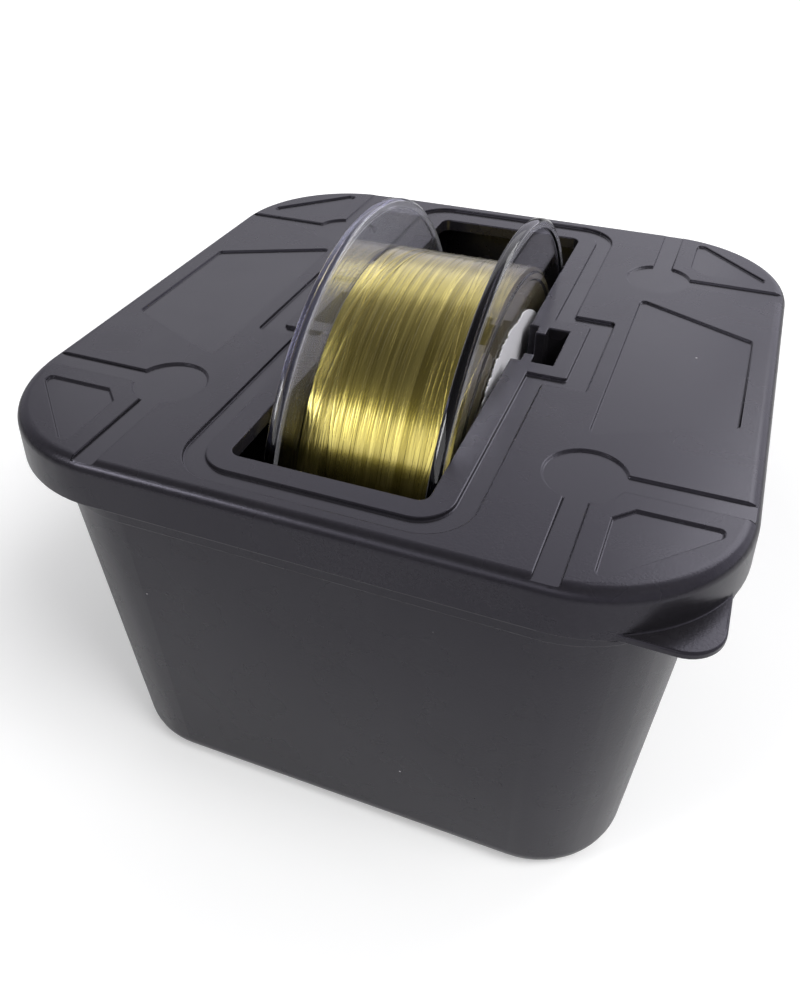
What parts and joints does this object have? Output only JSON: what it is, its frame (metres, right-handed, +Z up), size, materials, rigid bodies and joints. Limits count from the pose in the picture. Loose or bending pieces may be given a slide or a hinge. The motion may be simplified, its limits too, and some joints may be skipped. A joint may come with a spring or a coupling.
{
  "type": "line spooling tub",
  "caption": "Square tapered tub with a push-fit slotted lid; a clear bulk spool of fishing line turns on a spindle that drops into T pockets in the lid.",
  "frame": {"origin": "middle of the bucket's base, on the surface it stands on", "axes": "+Z up, X along the spindle, -Y to the front edge; the pull tab is at the +X -Y corner"},
  "size_m": [0.192, 0.192, 0.1608],
  "materials": {
    "tub_plastic": "matte fine-grained moulding",
    "clear_flange": "clear polished",
    "line": "glossy golden monofilament",
    "label_paper": "plain coated paper",
    "spindle_plastic": "satin black",
    "cone_plastic": "satin dark grey",
    "washer_plastic": "natural acetal"
  },
  "bodies": {
    "bucket": {"bucket": "tub_plastic"},
    "lid": {"lid": "tub_plastic"},
    "spindle": {"spindle": "spindle_plastic", "end_block_left": "spindle_plastic", "end_block_right": "spindle_plastic", "friction_washer_left": "washer_plastic", "friction_washer_right": "washer_plastic"},
    "spool": {"spool_flange_left": "clear_flange", "spool_flange_right": "clear_flange", "spool_hub": "clear_flange", "line_pack": "line", "line_outer_layer": "line", "spool_label": "label_paper", "cone_left": "cone_plastic", "cone_right": "cone_plastic"},
    "nut": {"tension_nut": "spindle_plastic"}
  },
  "joints": [
    {"name": "lid_lift", "type": "slide", "parent": "bucket", "child": "lid", "axis": [0, 0, 1], "range_m": [0, 0.13]},
    {"name": "spindle_lift", "type": "slide", "parent": "lid", "child": "spindle", "axis": [0, 0, 1], "range_m": [0, 0.13]},
    {"name": "spool_spin", "type": "hinge", "parent": "spindle", "child": "spool", "pos_m": [0, 0, 0.0858], "axis": [1, 0, 0], "continuous": true},
    {"name": "nut_turn", "type": "hinge", "parent": "spindle", "child": "nut", "pos_m": [0.026, 0, 0.0858], "axis": [1, 0, 0], "range_deg": [-90, 90]}
  ]
}
